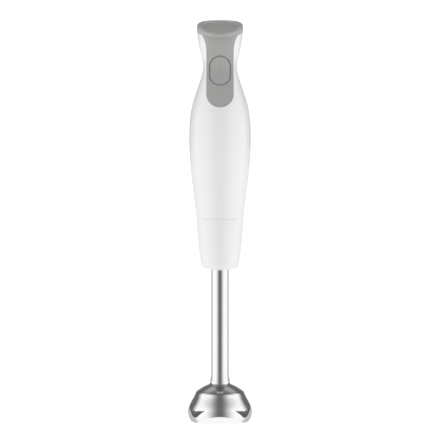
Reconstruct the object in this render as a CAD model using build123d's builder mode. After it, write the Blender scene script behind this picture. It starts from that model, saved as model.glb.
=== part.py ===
from build123d import *

import math
import os

# An immersion blender: a motor body with a grip panel and a start button, and a screw-on steel foot.
# Millimetres, +Z up along the drive shaft, the grip panel faces -Y, the feet of the bell stand on z = 0.

# Fits and joints between pieces
fit_gap = 0.1
run_gap = 0.06
slide_gap = 0.3
seam_gap = 0.4
end_gap = 0.1

# Outside of the motor body: radius and height above the floor at each station
seam_radius = 22.9
seam_z = 194.7
flank_radius = 27.3
flank_z = 232.0
belly_radius = 30.1
belly_z = 275.0
shoulder_radius = 26.9
shoulder_z = 306.0
waist_radius = 20.5
waist_z = 326.0
neck_radius = 16.7
neck_z = 345.0
nape_radius = 19.3
nape_z = 358.0
head_radius = 21.6
head_z = 370.0
crown_radius = 20.6
crown_z = 396.0
housing_wall = 2.4

# Top cap: a lid that bends down to the front, with a shallow dish, on a tilted parting plane
cap_tilt = 25.0
cap_parting_z = 377.7
crown_front_z = 371.7
crown_back_z = 391.6
crown_reach = 21.0
crown_bend_radius = 105.0
cap_edge_radius = 2.4
cap_floor = 1.8
dish_rim = 5.0
dish_depth = 2.4
dish_edge_radius = 1.6
skirt_depth = 4.0
skirt_wall = 1.6

# Cord gland at the back of the head
gland_z = 379.0
gland_elevation = 50.0
gland_radius = 4.6
gland_tip_radius = 4.0
gland_length = 15.0
gland_bore_radius = 3.3
gland_neck_radius = 4.0
gland_neck_length = 7.0
gland_edge_radius = 0.8

# Grip panel: a flatter strip let into the front of the motor body
grip_half_width = 12.9
grip_bottom_z = 301.0
grip_flare_z = 355.0
grip_flare_radius = 34.0
grip_flare_rise = 24.5
grip_axis_offset = 25.0
grip_edge_step = 0.4
grip_wall = 2.8
grip_boss_radius = 3.8

# Start button, its seal and its return spring
button_z = 337.2
button_width = 18.8
button_height = 27.4
button_proud = 0.7
button_edge_radius = 0.7
button_travel = 2.5
button_flange_overlap = 1.2
button_flange_thickness = 1.2
seal_width = 0.8
seal_recess = 0.4
button_back_y = -7.6
nub_radius = 2.0
nub_length = 1.2
nub_drop = 1.5
spring_rise = 8.0
spring_radius = 2.6
spring_wire = 0.5
spring_turns = 6
spring_post_radius = 1.6

# Switch, lever and circuit board
lever_thickness = 0.4
lever_half_width = 1.7
lever_arm = 10.0
lever_length = 13.0
pivot_radius = 0.7
switch_half_width = 2.9
switch_depth = 6.2
switch_length = 13.0
ear_width = 0.9
ear_length = 3.0
carrier_side_room = 3.8
carrier_thickness = 2.0
carrier_top_z = 363.0
carrier_bottom_z = 321.0
tab_half_width = 5.0
tab_bottom_z = 311.0
board_thickness = 1.6
board_margin = 0.5
board_screw_inset = 3.5
board_screw_radius = 1.1
board_screw_head_radius = 2.0
board_screw_head = 1.2
capacitor_width = 11.0
capacitor_height = 9.0
capacitor_depth = 4.4
capacitor_z = 351.0
diode_radius = 1.3
diode_length = 5.0
diode_pitch = 3.4
diode_z = 334.0
diode_count = 4
component_edge_radius = 0.6

# Housing screw through the waist, with its plug
screw_z = 316.0
screw_radius = 1.5
screw_head_radius = 3.0
screw_head_height = 2.5
screw_head_y = 12.0
screw_tip_y = -8.0
screw_boss_radius = 4.6
plug_back_y = 19.0

# Cooling slots in the back of the motor body
vent_count = 5
vent_pitch = 4.0
vent_width = 18.0
vent_height = 1.8
vent_low_z = 285.0

# Threaded socket under the motor body
spigot_radius = 16.8
spigot_wall = 3.2
spigot_length = 14.5
socket_lip = 2.4
socket_flange = 2.0
socket_flange_reach = 2.6
socket_rib = 2.0
socket_web = 3.0
thread_lead = 40.0
thread_starts = 3
lug_depth = 1.4
lug_height = 3.0
lug_turn = 24.0
lug_drop = 9.5
thread_gap = 0.3
socket_seal_radius = 6.0
socket_seal_flange = 7.6
socket_seal_flange_height = 1.2

# Motor
shaft_radius = 3.0
motor_radius = 20.0
can_wall = 1.4
damper_thickness = 2.0
damper_skirt = 5.5
damper_wall = 1.1
damper_reach = 6.0
base_thickness = 3.0
base_boss_radius = 10.0
base_boss_height = 6.5
lower_bearing_radius = 8.0
lower_bearing_height = 6.0
bearing_floor = 2.6
shaft_hole_clearance = 0.5
can_height = 55.5
stack_bottom = 17.5
stack_length = 32.0
stack_radius = 14.3
slot_count = 12
slot_width = 2.2
slot_depth = 5.5
air_gap = 0.6
magnet_half_angle = 62.0
magnet_overhang = 2.0
winding_height = 7.0
winding_inner_radius = 4.6
winding_outer_radius = 12.5
winding_edge_radius = 1.5
commutator_radius = 8.2
commutator_height = 10.5
commutator_slot = 0.5
commutator_slot_depth = 1.0
commutator_rise = 2.0
plate_thickness = 3.0
plate_skirt = 13.0
upper_bearing_radius = 6.0
upper_bearing_height = 5.5
plate_boss_radius = 8.2
brush_width = 5.8
brush_height = 5.8
brush_length = 5.7
brush_guide_wall = 1.5
brush_spring_radius = 2.0
brush_spring_wire = 0.4
brush_spring_turns = 4
upper_damper_wall = 2.0
upper_damper_height = 8.0
motor_ring_height = 7.0
fan_radius = 17.0
fan_hub_radius = 5.2
fan_height = 8.0
fan_disc = 1.2
fan_blade = 1.0
fan_blade_radius = 16.2
fan_blade_root = 4.6
fan_blade_count = 11
fan_rise = 2.0
shaft_top_rise = 1.5
lead_radius = 0.9
lead_half_spacing = 7.0
lead_bend_radius = 5.0
lead_corner_radius = 2.0
lead_lift = 3.5
lead_side_x = 21.0
lead_plate_x = 13.5

# Drive coupling between motor and foot
dog_radius = 5.2
dog_length = 15.0
dog_drop = 1.5
dog_sides = 6
dog_end_wall = 3.0
cup_radius = 8.5
cup_wall_bottom = 2.0
cup_socket_depth = 11.0
coupling_gap = 0.25
coupling_end_gap = 0.5

# Foot collar and tube
collar_gap = 0.15
collar_bottom_z = 145.5
collar_dome_radius = 11.0
collar_end_radius = 18.3
collar_end_z = 148.6
collar_mid_radius = 21.2
collar_mid_z = 172.0
collar_edge_radius = 3.4
collar_wall = 2.9
collar_floor = 6.5
collar_sleeve_wall = 2.5
collar_rib_count = 4
collar_rib = 2.0
tube_radius = 8.7
tube_wall = 1.0
tube_top_z = 168.0
tube_bottom_z = 33.0
bush_flange_height = 2.0
upper_bush_length = 12.0
lower_bush_length = 14.0
bush_seal_gap = 0.2
blade_seal_height = 2.6
washer_thickness = 1.0
washer_radius = 7.0

# Bell, with a wide foot at each side, an arch at the front and the back, and a window beside each arch
bell_wall = 1.2
bell_neck_wall = 0.8
bell_neck_z = 38.2
bell_roof_z = 35.2
roof_lean = 72.0
roof_mid_radius = 17.5
roof_mid_z = 31.8
roof_mid_lean = 56.0
crease_radius = 23.2
crease_z = 27.8
crease_lean = 41.0
skirt_mid_radius = 27.9
skirt_mid_z = 18.2
skirt_mid_lean = 23.0
bell_radius = 31.3
bell_wide_z = 7.6
foot_mid_radius = 30.4
foot_mid_z = 3.6
foot_radius = 28.8
foot_trim_radius = 27.6
foot_trim_z = -2.0
neck_fillet_radius = 1.8
crease_fillet_radius = 6.0
arch_count = 2
arch_half_width = 22.4
arch_height = 7.6
window_angle = 44.5
window_half_width = 11.6
window_low_offset = 6.0
window_tip_z = 13.4
window_top_z = 12.0
window_bottom_z = 6.2

# Blade and the lower end of its shaft
blade_z = 14.0
blade_thickness = 1.6
blade_reach = 24.0
blade_width = 12.0
blade_tip_width = 6.0
blade_flat = 8.0
blade_rise = 5.0
blade_fall = 3.5
blade_stud_radius = 2.0
nut_across_corners_radius = 4.6
nut_height = 4.0
nut_dome = 1.2
clip_z = 31.2
clip_thickness = 1.0
clip_radius = 5.2
clip_groove_radius = 2.4
clip_opening = 3.6

# Reach of cutting shapes past the faces that they cut
cut_past = 60.0

# Sizes that follow from the ones above
body_outline = [
    (seam_radius, seam_z),
    (flank_radius, flank_z),
    (belly_radius, belly_z),
    (shoulder_radius, shoulder_z),
    (waist_radius, waist_z),
    (neck_radius, neck_z),
    (nape_radius, nape_z),
    (head_radius, head_z),
    (crown_radius, crown_z),
]
tilt = math.radians(cap_tilt)
tilt_normal = (0, -math.sin(tilt), math.cos(tilt))
parting_plane = Plane(origin=(0, 0, cap_parting_z), x_dir=(1, 0, 0), z_dir=tilt_normal)

# Levels of the socket and the motor, from the seam upwards
spigot_bottom_z = seam_z - spigot_length
flange_bottom_z = seam_z + socket_lip + end_gap
flange_top_z = flange_bottom_z + socket_flange
rib_bottom_z = flange_top_z + end_gap
rib_top_z = rib_bottom_z + socket_rib
lip_radius = spigot_radius + slide_gap
damper_z = rib_top_z + end_gap
base_z = damper_z + damper_thickness + end_gap
base_top_z = base_z + base_thickness
lower_bearing_z = base_z + bearing_floor
can_z = base_top_z + end_gap
can_top_z = can_z + can_height
stack_z = base_z + stack_bottom
stack_top_z = stack_z + stack_length
commutator_z = stack_top_z + winding_height + commutator_rise
plate_z = can_top_z + end_gap
plate_disc_z = plate_z + plate_skirt
plate_top_z = plate_disc_z + plate_thickness
plate_boss_top_z = plate_top_z + upper_bearing_height
fan_z = plate_boss_top_z + fan_rise
shaft_top_z = fan_z + fan_height + shaft_top_rise
motor_ring_radius = motor_radius + fit_gap + upper_damper_wall + fit_gap
motor_ring_z = plate_disc_z - motor_ring_height
brush_z = commutator_z + commutator_height / 2
shaft_hole_radius = shaft_radius + shaft_hole_clearance
bearing_bore = shaft_radius + run_gap
core_bore = shaft_radius + fit_gap

# Levels of the coupling and the foot, from the seam downwards
collar_top_z = seam_z - collar_gap
dog_top_z = flange_bottom_z - dog_drop
dog_bottom_z = dog_top_z - dog_length
shaft_bottom_z = dog_bottom_z + dog_end_wall
cup_floor_z = dog_bottom_z - coupling_end_gap
cup_top_z = cup_floor_z + cup_socket_depth
washer_z = tube_top_z + end_gap + bush_flange_height + end_gap
cup_bottom_z = washer_z + washer_thickness + end_gap
blade_shaft_top_z = cup_floor_z - cup_wall_bottom
collar_bore_radius = lip_radius
tube_bore_radius = tube_radius - tube_wall
sleeve_bore_radius = tube_radius + fit_gap
sleeve_radius = sleeve_bore_radius + collar_sleeve_wall
lower_bush_z = tube_bottom_z + blade_seal_height + bush_seal_gap
lug_z = collar_top_z - lug_drop

# Depths behind the front of the grip, at the button
button_flange_back_y = button_back_y + button_flange_thickness
nub_tip_y = button_flange_back_y + nub_length
lever_front_y = nub_tip_y + end_gap
pivot_y = lever_front_y + button_travel + lever_thickness
switch_front_y = pivot_y + pivot_radius + end_gap
carrier_y = switch_front_y + switch_depth
carrier_back_y = carrier_y + carrier_thickness
board_y = carrier_back_y + end_gap
board_back_y = board_y + board_thickness
carrier_half_width = neck_radius - housing_wall - carrier_side_room
board_half_width = carrier_half_width - board_margin
lever_contact_z = button_z - nub_drop
pivot_z = lever_contact_z + nub_radius - lever_arm
lever_slope = math.atan2(button_travel, lever_arm)
spring_z = button_z + spring_rise
hole_width = button_width + 2 * (slide_gap + seal_width + fit_gap)
hole_height = button_height + 2 * (slide_gap + seal_width + fit_gap)

neck_outer_radius = tube_radius + fit_gap + bell_neck_wall
arch_radius = (arch_half_width**2 + arch_height**2) / (2 * arch_height)
bell_roof = [
    (neck_outer_radius, bell_roof_z, roof_lean),
    (roof_mid_radius, roof_mid_z, roof_mid_lean),
    (crease_radius, crease_z, crease_lean),
]
bell_skirt = [
    (crease_radius, crease_z, crease_lean),
    (skirt_mid_radius, skirt_mid_z, skirt_mid_lean),
    (bell_radius, bell_wide_z, 0),
    (foot_mid_radius, foot_mid_z, 0),
    (foot_radius, 0, 0),
    (foot_trim_radius, foot_trim_z, 0),
]

os.makedirs("parts", exist_ok=True)


def body_section(inset, side=1):
    """Half section of the motor body's form, inset from its outside, on one side of the axis."""
    points = [(side * (radius - inset), height) for radius, height in body_outline]
    with BuildSketch(Plane.XZ) as section:
        with BuildLine():
            Spline(*points)
            Polyline(points[-1], (0, crown_z), (0, seam_z), points[0])
        make_face()
    return section.sketch


def cavity_section(side):
    """Half section of the motor body's hollow, which leaves the rings that hold socket and motor."""
    rings = [
        (lip_radius, seam_z, seam_z + socket_lip),
        (lip_radius, rib_bottom_z, rib_top_z),
        (motor_ring_radius, motor_ring_z, motor_ring_z + motor_ring_height),
    ]
    with BuildSketch(Plane.XZ) as section:
        add(body_section(housing_wall, side))
        for radius, bottom, top in rings:
            with Locations((side * (radius + cut_past / 2), (bottom + top) / 2)):
                Rectangle(cut_past, top - bottom, mode=Mode.SUBTRACT)
    return section.sketch


def ring_section(inner, outer, bottom, top):
    """Rectangle in the section plane, which revolves into a ring."""
    with BuildSketch(Plane.XZ) as section:
        with Locations(((inner + outer) / 2, (bottom + top) / 2)):
            Rectangle(outer - inner, top - bottom)
    return section.sketch


def grip_section(inset):
    """Section of the flatter grip face, which turns about an axis behind the motor body."""
    points = []
    meet_x = grip_half_width + grip_edge_step
    for radius, height in body_outline:
        meet_depth = math.sqrt(radius**2 - meet_x**2)
        face_radius = math.hypot(meet_x, grip_axis_offset + meet_depth)
        points.append((grip_axis_offset - face_radius + inset, height))
    with BuildSketch(Plane.YZ) as section:
        with BuildLine():
            Spline(*points)
            Polyline(points[-1], (grip_axis_offset, crown_z), (grip_axis_offset, seam_z), points[0])
        make_face()
    return section.sketch


def grip_outline(margin):
    """Outline of the grip panel seen from the front: round below, flared towards the cap."""
    half_width = grip_half_width + margin
    radius = grip_flare_radius - margin
    reach = radius - math.sqrt(radius**2 - grip_flare_rise**2)
    top = grip_flare_z + grip_flare_rise
    low_centre = grip_bottom_z + grip_half_width
    with BuildSketch(Plane.XZ) as outline:
        with BuildLine():
            TangentArc((half_width, grip_flare_z), (half_width + reach, top), tangent=(0, 1))
            Polyline((half_width + reach, top), (0, top))
            Line((half_width, low_centre), (half_width, grip_flare_z))
            RadiusArc((half_width, low_centre), (0, low_centre - half_width), half_width)
            mirror(about=Plane.YZ)
        make_face()
    return outline.sketch


def button_slot(width, height):
    """Upright slot outline around the middle of the button."""
    with BuildSketch(Plane.XZ) as outline:
        with Locations((0, button_z)):
            SlotOverall(height, width, rotation=90)
    return outline.sketch


def thread_bar(inner, outer, height, bottom, rise):
    """Bar of rectangular section that climbs around the axis with the lead of the foot's thread."""
    with BuildPart() as bar:
        with BuildLine() as path:
            Helix(thread_lead, rise, (inner + outer) / 2, center=(0, 0, bottom))
        with BuildSketch(Plane(origin=path.line @ 0, x_dir=(1, 0, 0), z_dir=path.line % 0)):
            Rectangle(outer - inner, height)
        sweep(is_frenet=True)
    return bar.part


def coil(radius, wire, length, turns):
    """Open coil spring along +Z from the origin, measured over its wire."""
    rise = length - wire
    with BuildPart() as spring:
        with BuildLine() as path:
            Helix(rise / turns, rise, radius, center=(0, 0, wire / 2))
        with BuildSketch(Plane(origin=path.line @ 0, x_dir=(1, 0, 0), z_dir=path.line % 0)):
            Circle(wire / 2)
        sweep(is_frenet=True)
    return spring.part


def bell_section(inset):
    """Half section of the bell's form, inset from its outside along the lean of each station."""
    roof, skirt = [
        [
            (radius - inset * math.cos(math.radians(lean)), height - inset * math.sin(math.radians(lean)))
            for radius, height, lean in stations
        ]
        for stations in (bell_roof, bell_skirt)
    ]
    with BuildSketch(Plane.XZ) as section:
        with BuildLine():
            Spline(*roof)
            Spline(*skirt)
            Polyline(skirt[-1], (0, foot_trim_z), (0, roof[0][1]), roof[0])
        make_face()
    return section.sketch


def bell_direction(angle):
    """Upright plane through the axis that looks out of the bell, at an angle from the front."""
    turn = math.radians(angle)
    return Plane(
        origin=(0, 0, 0),
        x_dir=(math.cos(turn), math.sin(turn), 0),
        z_dir=(math.sin(turn), -math.cos(turn), 0),
    )


# Front housing: half shell with the opening for the grip panel
with BuildPart() as front_housing:
    revolve(body_section(0, -1), axis=Axis.Z, revolution_arc=180)
    revolve(cavity_section(-1), axis=Axis.Z, revolution_arc=180, mode=Mode.SUBTRACT)
    extrude(grip_outline(fit_gap), amount=cut_past, mode=Mode.SUBTRACT)
    split(bisect_by=parting_plane, keep=Keep.BOTTOM)
front_housing.part.label = "front_housing"
export_step(front_housing.part, "parts/front_housing.step")

# Rear housing: half shell with the screw boss, the cooling slots and the hole for the cord gland
gland_plane = Plane(
    origin=(0, head_radius, gland_z),
    x_dir=(1, 0, 0),
    z_dir=(0, math.cos(math.radians(gland_elevation)), math.sin(math.radians(gland_elevation))),
)
screw_plane = Plane(origin=(0, 0, screw_z), x_dir=(1, 0, 0), z_dir=(0, 1, 0))
boss_face_y = carrier_back_y + end_gap

with BuildPart() as rear_shell:
    revolve(body_section(0), axis=Axis.Z, revolution_arc=180)
    revolve(cavity_section(1), axis=Axis.Z, revolution_arc=180, mode=Mode.SUBTRACT)

with BuildPart() as rear_housing:
    with BuildSketch(screw_plane.offset(boss_face_y)):
        Circle(screw_boss_radius)
    extrude(amount=cut_past)
    revolve(body_section(housing_wall / 2), axis=Axis.Z, mode=Mode.INTERSECT)
    add(rear_shell.part)
    with BuildSketch(screw_plane.offset(boss_face_y)):
        Circle(screw_radius + slide_gap)
    extrude(amount=cut_past, mode=Mode.SUBTRACT)
    with BuildSketch(screw_plane.offset(screw_head_y)):
        Circle(screw_head_radius + slide_gap)
    extrude(amount=cut_past, mode=Mode.SUBTRACT)
    with BuildSketch(Plane.XZ):
        with Locations((0, vent_low_z + vent_pitch * (vent_count - 1) / 2)):
            with GridLocations(vent_width, vent_pitch, 1, vent_count):
                SlotOverall(vent_width, vent_height)
    extrude(amount=-cut_past, mode=Mode.SUBTRACT)
    with BuildSketch(gland_plane.offset(-gland_neck_length)):
        Circle(gland_neck_radius + fit_gap)
    extrude(amount=gland_neck_length + gland_length, mode=Mode.SUBTRACT)
    split(bisect_by=parting_plane, keep=Keep.BOTTOM)
rear_housing.part.label = "rear_housing"
export_step(rear_housing.part, "parts/rear_housing.step")

# Top cap: bent lid with a dished face, a rounded rim and a skirt inside the housings
cap_bottom = parting_plane.offset(seam_gap / 2)
skirt_bottom = parting_plane.offset(-skirt_depth)
skirt_inset = housing_wall + slide_gap
crown_rise = (crown_back_z - crown_front_z) / 2
crown_chord = math.hypot(crown_reach, crown_rise)
bend_depth = math.sqrt(crown_bend_radius**2 - crown_chord**2)
crown_bend = (
    0,
    bend_depth * crown_rise / crown_chord,
    crown_front_z + crown_rise - bend_depth * crown_reach / crown_chord,
)
across = (0, 90, 0)

with BuildPart() as cap_skirt:
    revolve(body_section(skirt_inset), axis=Axis.Z)
    revolve(body_section(skirt_inset + skirt_wall), axis=Axis.Z, mode=Mode.SUBTRACT)
    split(bisect_by=cap_bottom.offset(seam_gap), keep=Keep.BOTTOM)
    split(bisect_by=skirt_bottom, keep=Keep.TOP)
    extrude(grip_outline(slide_gap), amount=cut_past, mode=Mode.SUBTRACT)
    with BuildSketch(gland_plane.offset(-gland_neck_length)):
        Circle(gland_radius + slide_gap)
    extrude(amount=gland_neck_length + gland_length, mode=Mode.SUBTRACT)

with BuildPart() as cap_hollow:
    revolve(body_section(skirt_inset + skirt_wall + slide_gap), axis=Axis.Z)
    split(bisect_by=cap_bottom.offset(-seam_gap), keep=Keep.TOP)
    with Locations(crown_bend):
        hollow_radius = crown_bend_radius - dish_depth - cap_floor
        Cylinder(hollow_radius, 2 * cut_past, rotation=across, mode=Mode.INTERSECT)

with BuildPart() as cap_dish:
    revolve(body_section(dish_rim), axis=Axis.Z)
    split(bisect_by=cap_bottom, keep=Keep.TOP)
    with Locations(crown_bend):
        Cylinder(crown_bend_radius - dish_depth, 2 * cut_past, rotation=across, mode=Mode.SUBTRACT)
    fillet(cap_dish.faces().filter_by(GeomType.CYLINDER).edges(), radius=dish_edge_radius)

with BuildPart() as top_cap:
    revolve(body_section(0), axis=Axis.Z)
    split(bisect_by=cap_bottom, keep=Keep.TOP)
    with Locations(crown_bend):
        Cylinder(crown_bend_radius, 2 * cut_past, rotation=across, mode=Mode.INTERSECT)
    fillet(top_cap.faces().filter_by(GeomType.CYLINDER).edges(), radius=cap_edge_radius)
    add(cap_hollow.part, mode=Mode.SUBTRACT)
    add(cap_skirt.part)
    add(cap_dish.part, mode=Mode.SUBTRACT)
    crown = top_cap.faces().filter_by(GeomType.CYLINDER).sort_by(Axis.Z)[-1]
    fillet(crown.inner_wires()[0].edges(), radius=dish_edge_radius)
top_cap.part.label = "top_cap"
export_step(top_cap.part, "parts/top_cap.step")

# Cord gland: nozzle on the back of the head, with a neck through the housing
with BuildPart() as cord_gland:
    with BuildSketch(gland_plane.offset(-gland_neck_length)):
        Circle(gland_radius)
    extrude(amount=gland_neck_length)
    with BuildSketch(gland_plane):
        Circle(gland_radius)
    with BuildSketch(gland_plane.offset(gland_length)):
        Circle(gland_tip_radius)
    loft()
    revolve(body_section(-fit_gap), axis=Axis.Z, mode=Mode.SUBTRACT)
    fillet(cord_gland.edges().sort_by(Axis(gland_plane.origin, gland_plane.z_dir))[-1], gland_edge_radius)
    with BuildSketch(gland_plane.offset(-gland_neck_length)):
        Circle(gland_neck_radius)
    extrude(amount=gland_neck_length + gland_length / 2)
    with BuildSketch(gland_plane.offset(-gland_neck_length)):
        Circle(gland_bore_radius)
    extrude(amount=gland_neck_length + gland_length, mode=Mode.SUBTRACT)
cord_gland.part.label = "cord_gland"
export_step(cord_gland.part, "parts/cord_gland.step")

# Grip panel: flatter strip in the front opening, with the button hole and the screw boss
grip_axis = Axis((0, grip_axis_offset, 0), (0, 0, 1))
grip_boss_end_y = carrier_y - end_gap

with BuildPart() as grip_core:
    revolve(grip_section(grip_wall), axis=grip_axis)
    revolve(body_section(housing_wall), axis=Axis.Z, mode=Mode.INTERSECT)

with BuildPart() as grip_panel:
    extrude(grip_outline(0), amount=cut_past)
    revolve(grip_section(0), axis=grip_axis, mode=Mode.INTERSECT)
    revolve(body_section(0), axis=Axis.Z, mode=Mode.INTERSECT)
    add(grip_core.part, mode=Mode.SUBTRACT)
    split(bisect_by=parting_plane, keep=Keep.BOTTOM)
    extrude(button_slot(hole_width, hole_height), amount=cut_past, mode=Mode.SUBTRACT)
    with BuildSketch(screw_plane.offset(grip_boss_end_y)):
        Circle(grip_boss_radius)
        Circle(screw_radius + fit_gap, mode=Mode.SUBTRACT)
    extrude(until=Until.NEXT, dir=(0, -1, 0))
grip_panel.part.label = "grip_panel"
export_step(grip_panel.part, "parts/grip_panel.step")

# Start button: domed key with a retaining flange and a nub that works the switch lever
with BuildPart() as start_button:
    extrude(button_slot(button_width, button_height), amount=cut_past)
    revolve(grip_section(-button_proud), axis=grip_axis, mode=Mode.INTERSECT)
    fillet(start_button.faces().sort_by(Axis.Y)[0].edges(), button_edge_radius)
    split(bisect_by=Plane.XZ.offset(-button_back_y), keep=Keep.TOP)
    extrude(
        button_slot(
            button_width + 2 * button_flange_overlap + 2 * slide_gap,
            button_height + 2 * button_flange_overlap + 2 * slide_gap,
        ).moved(Location((0, button_flange_back_y, 0))),
        amount=button_flange_thickness,
    )
    with BuildSketch(Plane(origin=(0, nub_tip_y, lever_contact_z), x_dir=(1, 0, 0), z_dir=(0, -1, 0))):
        Circle(nub_radius)
    extrude(amount=nub_length)
start_button.part.label = "start_button"
export_step(start_button.part, "parts/start_button.step")

# Button seal: soft ring between the panel and the button
with BuildPart() as button_seal:
    extrude(button_slot(hole_width - 2 * fit_gap, hole_height - 2 * fit_gap), amount=cut_past)
    revolve(grip_section(seal_recess), axis=grip_axis, mode=Mode.INTERSECT)
    extrude(
        button_slot(button_width + 2 * slide_gap, button_height + 2 * slide_gap),
        amount=cut_past,
        mode=Mode.SUBTRACT,
    )
    split(bisect_by=Plane.XZ.offset(-button_back_y + slide_gap), keep=Keep.TOP)
button_seal.part.label = "button_seal"
export_step(button_seal.part, "parts/button_seal.step")

# Return spring between the button and the post on the switch carrier
spring_length = carrier_y - button_flange_back_y - 2 * end_gap
spring_plane = Plane(
    origin=(0, button_flange_back_y + end_gap, spring_z), x_dir=(1, 0, 0), z_dir=(0, 1, 0)
)
with BuildPart() as button_spring:
    add(coil(spring_radius, spring_wire, spring_length, spring_turns).moved(spring_plane.location))
button_spring.part.label = "button_spring"
export_step(button_spring.part, "parts/button_spring.step")

# Switch carrier: plate behind the switch, with the spring post and the clamped tab
with BuildPart() as switch_carrier:
    with BuildSketch(Plane.XZ.offset(-carrier_back_y)):
        with Locations((0, (carrier_top_z + carrier_bottom_z) / 2)):
            Rectangle(2 * carrier_half_width, carrier_top_z - carrier_bottom_z)
        with Locations((0, (carrier_bottom_z + tab_bottom_z) / 2)):
            Rectangle(2 * tab_half_width, carrier_bottom_z - tab_bottom_z)
        with Locations((0, screw_z)):
            Circle(screw_radius + slide_gap, mode=Mode.SUBTRACT)
        with Locations(
            (0, carrier_top_z - board_screw_inset), (0, carrier_bottom_z + board_screw_inset)
        ):
            Circle(board_screw_radius + fit_gap, mode=Mode.SUBTRACT)
    extrude(amount=carrier_thickness)
    with BuildSketch(Plane.XZ.offset(-carrier_y)):
        with Locations((0, spring_z)):
            Circle(spring_post_radius)
    extrude(amount=spring_length - button_travel - 2 * slide_gap - spring_wire)
switch_carrier.part.label = "switch_carrier"
export_step(switch_carrier.part, "parts/switch_carrier.step")

# Switch body with the two ears that carry the lever
switch_bottom_z = pivot_z - ear_length / 2
with BuildPart() as switch_body:
    with BuildSketch(Plane.XZ.offset(-carrier_y)):
        with Locations((0, switch_bottom_z + switch_length / 2)):
            Rectangle(2 * switch_half_width, switch_length)
    extrude(amount=switch_depth)
    fillet(switch_body.edges().filter_by(Axis.Y), component_edge_radius)
    for side in (-1, 1):
        with BuildSketch(Plane.YZ.offset(side * (switch_half_width - ear_width / 2))):
            with Locations((pivot_y, pivot_z)):
                Rectangle(4 * pivot_radius, ear_length)
                Circle(pivot_radius + fit_gap, mode=Mode.SUBTRACT)
        extrude(amount=ear_width / 2, both=True)
    with BuildSketch(Plane.YZ):
        with Locations((pivot_y, pivot_z)):
            Circle(pivot_radius + fit_gap)
    extrude(amount=switch_half_width, both=True, mode=Mode.SUBTRACT)
switch_body.part.label = "switch_body"
export_step(switch_body.part, "parts/switch_body.step")

# Switch lever: spring-steel arm on a pivot, leaning out against the button's nub
lever_plane = Plane(
    origin=(0, pivot_y, pivot_z),
    x_dir=(1, 0, 0),
    z_dir=(0, -math.cos(lever_slope), -math.sin(lever_slope)),
)
with BuildPart() as switch_lever:
    with BuildSketch(Plane.YZ.offset(-switch_half_width)):
        with Locations((pivot_y, pivot_z)):
            Circle(pivot_radius)
    extrude(amount=2 * switch_half_width)
    with BuildSketch(lever_plane):
        with Locations((0, lever_length / 2)):
            Rectangle(2 * lever_half_width, lever_length)
    extrude(amount=lever_thickness)
switch_lever.part.label = "switch_lever"
export_step(switch_lever.part, "parts/switch_lever.step")

# Circuit board on the back of the carrier, with its parts and screws
board_middle_z = (carrier_top_z + carrier_bottom_z) / 2
board_screw_places = [
    (0, carrier_top_z - board_screw_inset),
    (0, carrier_bottom_z + board_screw_inset),
]
with BuildPart() as circuit_board:
    with BuildSketch(Plane.XZ.offset(-board_back_y)):
        with Locations((0, board_middle_z)):
            Rectangle(2 * board_half_width, carrier_top_z - carrier_bottom_z)
        with Locations(*board_screw_places):
            Circle(board_screw_radius + fit_gap, mode=Mode.SUBTRACT)
    extrude(amount=board_thickness)
circuit_board.part.label = "circuit_board"
export_step(circuit_board.part, "parts/circuit_board.step")

with BuildPart() as capacitor:
    with BuildSketch(Plane.XZ.offset(-board_back_y)):
        with Locations((0, capacitor_z)):
            Rectangle(capacitor_width, capacitor_height)
    extrude(amount=-capacitor_depth)
    fillet(capacitor.faces().sort_by(Axis.Y)[-1].edges(), component_edge_radius)
capacitor.part.label = "capacitor"
export_step(capacitor.part, "parts/capacitor.step")

with BuildPart() as rectifier_diodes:
    with BuildSketch(Plane.YZ.offset(-diode_length / 2)):
        with Locations((board_back_y + diode_radius, diode_z)):
            with GridLocations(diode_pitch, diode_pitch, 1, diode_count):
                Circle(diode_radius)
    extrude(amount=diode_length)
rectifier_diodes.part.label = "rectifier_diodes"
export_step(rectifier_diodes.part, "parts/rectifier_diodes.step")

with BuildPart() as board_screws:
    with BuildSketch(Plane.XZ.offset(-board_back_y)):
        with Locations(*board_screw_places):
            Circle(board_screw_head_radius)
    extrude(amount=-board_screw_head)
    with BuildSketch(Plane.XZ.offset(-board_back_y)):
        with Locations(*board_screw_places):
            Circle(board_screw_radius)
    extrude(amount=board_back_y - carrier_y)
board_screws.part.label = "board_screws"
export_step(board_screws.part, "parts/board_screws.step")

# Housing screw and the plug over its head
with BuildPart() as housing_screw:
    with BuildSketch(screw_plane.offset(screw_head_y)):
        Circle(screw_head_radius)
    extrude(amount=screw_head_height)
    with BuildSketch(screw_plane.offset(screw_tip_y)):
        Circle(screw_radius)
    extrude(amount=screw_head_y - screw_tip_y)
    with BuildSketch(screw_plane.offset(screw_head_y + screw_head_height)):
        Rectangle(screw_head_radius, screw_radius / 2)
        Rectangle(screw_radius / 2, screw_head_radius)
    extrude(amount=-screw_head_height / 2, mode=Mode.SUBTRACT)
housing_screw.part.label = "housing_screw"
export_step(housing_screw.part, "parts/housing_screw.step")

with BuildPart() as screw_plug:
    with BuildSketch(screw_plane.offset(plug_back_y)):
        Circle(screw_head_radius + slide_gap - fit_gap)
    extrude(amount=cut_past)
    revolve(body_section(fit_gap), axis=Axis.Z, mode=Mode.INTERSECT)
screw_plug.part.label = "screw_plug"
export_step(screw_plug.part, "parts/screw_plug.step")

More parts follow.
